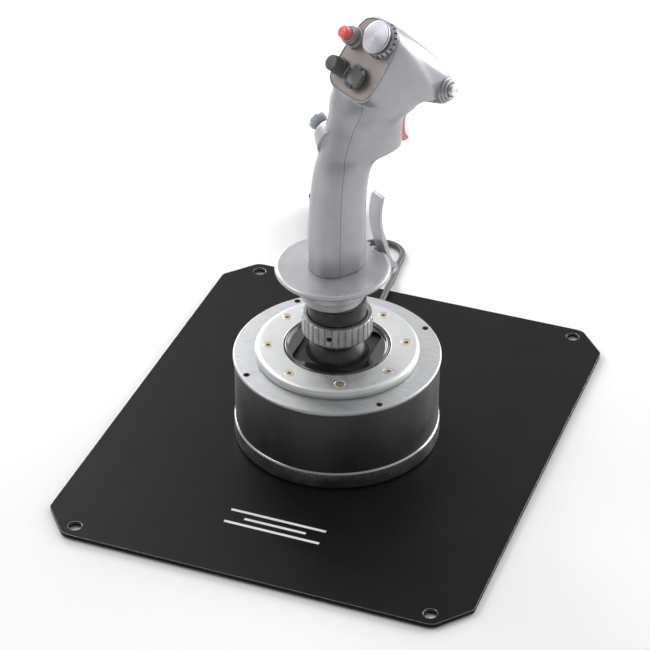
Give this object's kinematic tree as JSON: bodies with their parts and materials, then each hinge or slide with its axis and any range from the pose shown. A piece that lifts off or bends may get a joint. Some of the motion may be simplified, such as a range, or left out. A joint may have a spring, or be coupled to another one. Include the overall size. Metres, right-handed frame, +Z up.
{
  "type": "flight joystick",
  "caption": "Pilot-style flight stick: contoured grip with trigger, hats and buttons, screwed to a self-centring ball base on a wide steel plate, with a USB cord folded in a hank.",
  "frame": {"origin": "on the desk, under the centre of the mounting plate", "axes": "+Z up, +Y away from the pilot along the plate's long side, +X to the pilot's right"},
  "size_m": [0.3, 0.4655, 0.3166],
  "materials": {
    "plate_paint": "satin black powder coat",
    "pad_rubber": "matte",
    "dark_screw": "blackened steel",
    "zinc_screw": "yellow zinc plating",
    "bright_steel": "machined",
    "cover_alu": "turned, bright edge",
    "shell_black": "gloss black anodised, fine turning lines",
    "ring_alu": "brushed",
    "flange_alu": "bead blasted, clear anodised",
    "gate_plastic": "gloss black",
    "seat_metal": "dark anodised",
    "retainer_black": "matte black",
    "magnet": "nickel plated magnet",
    "board_green": "solder mask",
    "cord_rubber": "satin black jacket",
    "tie_fabric": "woven hook-and-loop",
    "plug_plastic": "moulded",
    "ball_metal": "textured black, semi gloss",
    "collar_metal": "ribbed, satin grey",
    "socket_brass": "gold flash",
    "grip_metal": "satin grey",
    "rest_metal": "satin grey",
    "panel_dark": "satin brown grey",
    "wire_sleeve": "matte",
    "hat_dark": "fine grain",
    "hat_base_dark": "moulded",
    "hat_silver": "turned concentric grooves",
    "side_cap": "bluish grey",
    "side_brass": "aged",
    "button_red": "gloss red",
    "button_silver": "satin",
    "trigger_red": "red enamel",
    "paddle_metal": "satin grey"
  },
  "bodies": {
    "base": {"mounting_plate": "plate_paint", "rubber_pads": "pad_rubber", "plate_screws": "dark_screw", "base_cover": "cover_alu", "housing_shell": "shell_black", "top_ring": "ring_alu", "top_ring_screws": "dark_screw", "gate_flange": "flange_alu", "flange_screws": "zinc_screw", "gate_insert": "gate_plastic", "ball_seat": "seat_metal", "ball_retainer": "retainer_black", "retainer_screws": "dark_screw", "fixed_magnet": "magnet", "sensor_board": "board_green", "board_screws": "bright_steel", "strain_relief": "cord_rubber", "usb_cord": "cord_rubber", "cord_hank": "cord_rubber", "cord_tie": "tie_fabric", "usb_plug": "plug_plastic"},
    "guide_pins": {"guide_pins": "bright_steel"},
    "stick": {"pivot_ball": "ball_metal", "lower_shaft": "bright_steel", "moving_magnet": "magnet", "connector_plate": "collar_metal", "connector_screws": "bright_steel", "connector_socket": "socket_brass"},
    "collar": {"collar_nut": "collar_metal"},
    "grip": {"threaded_stub": "ball_metal", "grip_plug": "plug_plastic", "hand_rest": "rest_metal", "front_shell": "grip_metal", "rear_shell": "grip_metal", "shell_screws": "dark_screw", "head_panel": "panel_dark", "switch_board": "board_green", "wire_bundle": "wire_sleeve", "pickle_collar": "collar_metal", "trim_base": "collar_metal", "castle_base": "hat_base_dark", "round_base": "hat_base_dark", "side_base": "side_brass", "front_button_collar": "collar_metal", "trigger_pin": "bright_steel", "paddle_bracket": "rest_metal", "paddle_pin": "bright_steel"},
    "trigger": {"trigger": "trigger_red"},
    "pickle_button": {"pickle_button": "button_red"},
    "front_button": {"front_button": "button_silver"},
    "paddle": {"paddle": "paddle_metal"},
    "trim_rocker": {"trim_rocker": "bright_steel"},
    "trim_hat": {"trim_hat": "hat_silver"},
    "castle_rocker": {"castle_rocker": "bright_steel"},
    "castle_hat": {"castle_hat": "hat_dark"},
    "round_rocker": {"round_rocker": "bright_steel"},
    "round_hat": {"round_hat": "hat_dark"},
    "side_rocker": {"side_rocker": "bright_steel"},
    "side_hat": {"side_hat": "side_cap"}
  },
  "joints": [
    {"name": "pitch", "type": "hinge", "parent": "base", "child": "guide_pins", "pos_m": [0, 0, 0.0645], "axis": [1, 0, 0], "range_deg": [-20, 20], "stiffness_Nm_per_rad": 3},
    {"name": "roll", "type": "hinge", "parent": "guide_pins", "child": "stick", "pos_m": [0, 0, 0.0645], "axis": [0, 1, 0], "range_deg": [-20, 20], "stiffness_Nm_per_rad": 6},
    {"name": "collar_turn", "type": "hinge", "parent": "stick", "child": "collar", "pos_m": [0, 0, 0.0945], "axis": [0, 0, 1], "range_deg": [0, 720]},
    {"name": "grip_rise", "type": "slide", "parent": "stick", "child": "grip", "axis": [0, 0, 1], "range_m": [0, 0.004]},
    {"name": "trigger_pull", "type": "hinge", "parent": "grip", "child": "trigger", "pos_m": [0.02914, 0.04427, 0.2485], "axis": [-0.8353, 0.5498, 0], "range_deg": [0, 7], "stiffness_Nm_per_rad": 0.6},
    {"name": "pickle_push", "type": "slide", "parent": "grip", "child": "pickle_button", "axis": [0.435, 0.6609, -0.6115], "range_m": [0, 0.002], "stiffness_N_per_m": 800},
    {"name": "front_push", "type": "slide", "parent": "grip", "child": "front_button", "axis": [-0.9582, 0.2274, -0.1736], "range_m": [0, 0.0015], "stiffness_N_per_m": 800},
    {"name": "paddle_squeeze", "type": "hinge", "parent": "grip", "child": "paddle", "pos_m": [0.02254, 0.03425, 0.126], "axis": [0.8353, -0.5498, 0], "range_deg": [0, 8], "stiffness_Nm_per_rad": 0.8},
    {"name": "trim_up_down", "type": "hinge", "parent": "grip", "child": "trim_rocker", "pos_m": [0.02526, 0.02601, 0.29902], "axis": [0.8353, -0.5498, 0], "range_deg": [-7, 7], "stiffness_Nm_per_rad": 0.06},
    {"name": "trim_left_right", "type": "hinge", "parent": "trim_rocker", "child": "trim_hat", "pos_m": [0.02526, 0.02601, 0.29902], "axis": [0.3362, 0.5108, 0.7912], "range_deg": [-7, 7], "stiffness_Nm_per_rad": 0.06},
    {"name": "castle_up_down", "type": "hinge", "parent": "grip", "child": "castle_rocker", "pos_m": [0.01349, 0.01267, 0.27623], "axis": [0.8353, -0.5498, 0], "range_deg": [-6, 6], "stiffness_Nm_per_rad": 0.06},
    {"name": "castle_left_right", "type": "hinge", "parent": "castle_rocker", "child": "castle_hat", "pos_m": [0.01349, 0.01267, 0.27623], "axis": [0.3362, 0.5108, 0.7912], "range_deg": [-6, 6], "stiffness_Nm_per_rad": 0.06},
    {"name": "round_up_down", "type": "hinge", "parent": "grip", "child": "round_rocker", "pos_m": [-0.00173, 0.02283, 0.27639], "axis": [0.8353, -0.5498, 0], "range_deg": [-6, 6], "stiffness_Nm_per_rad": 0.06},
    {"name": "round_left_right", "type": "hinge", "parent": "round_rocker", "child": "round_hat", "pos_m": [-0.00173, 0.02283, 0.27639], "axis": [0.3362, 0.5108, 0.7912], "range_deg": [-6, 6], "stiffness_Nm_per_rad": 0.06},
    {"name": "side_up_down", "type": "hinge", "parent": "grip", "child": "side_rocker", "pos_m": [-0.00821, 0.0072, 0.23549], "axis": [0.2581, -0.1699, 0.9511], "range_deg": [-6, 6], "stiffness_Nm_per_rad": 0.06},
    {"name": "side_fore_aft", "type": "hinge", "parent": "side_rocker", "child": "side_hat", "pos_m": [-0.00821, 0.0072, 0.23549], "axis": [0.5498, 0.8353, 0], "range_deg": [-6, 6], "stiffness_Nm_per_rad": 0.06}
  ],
  "couplings": [
    {"joint": "collar_turn", "follows": "grip_rise", "rad_per_m": 3141.6}
  ]
}
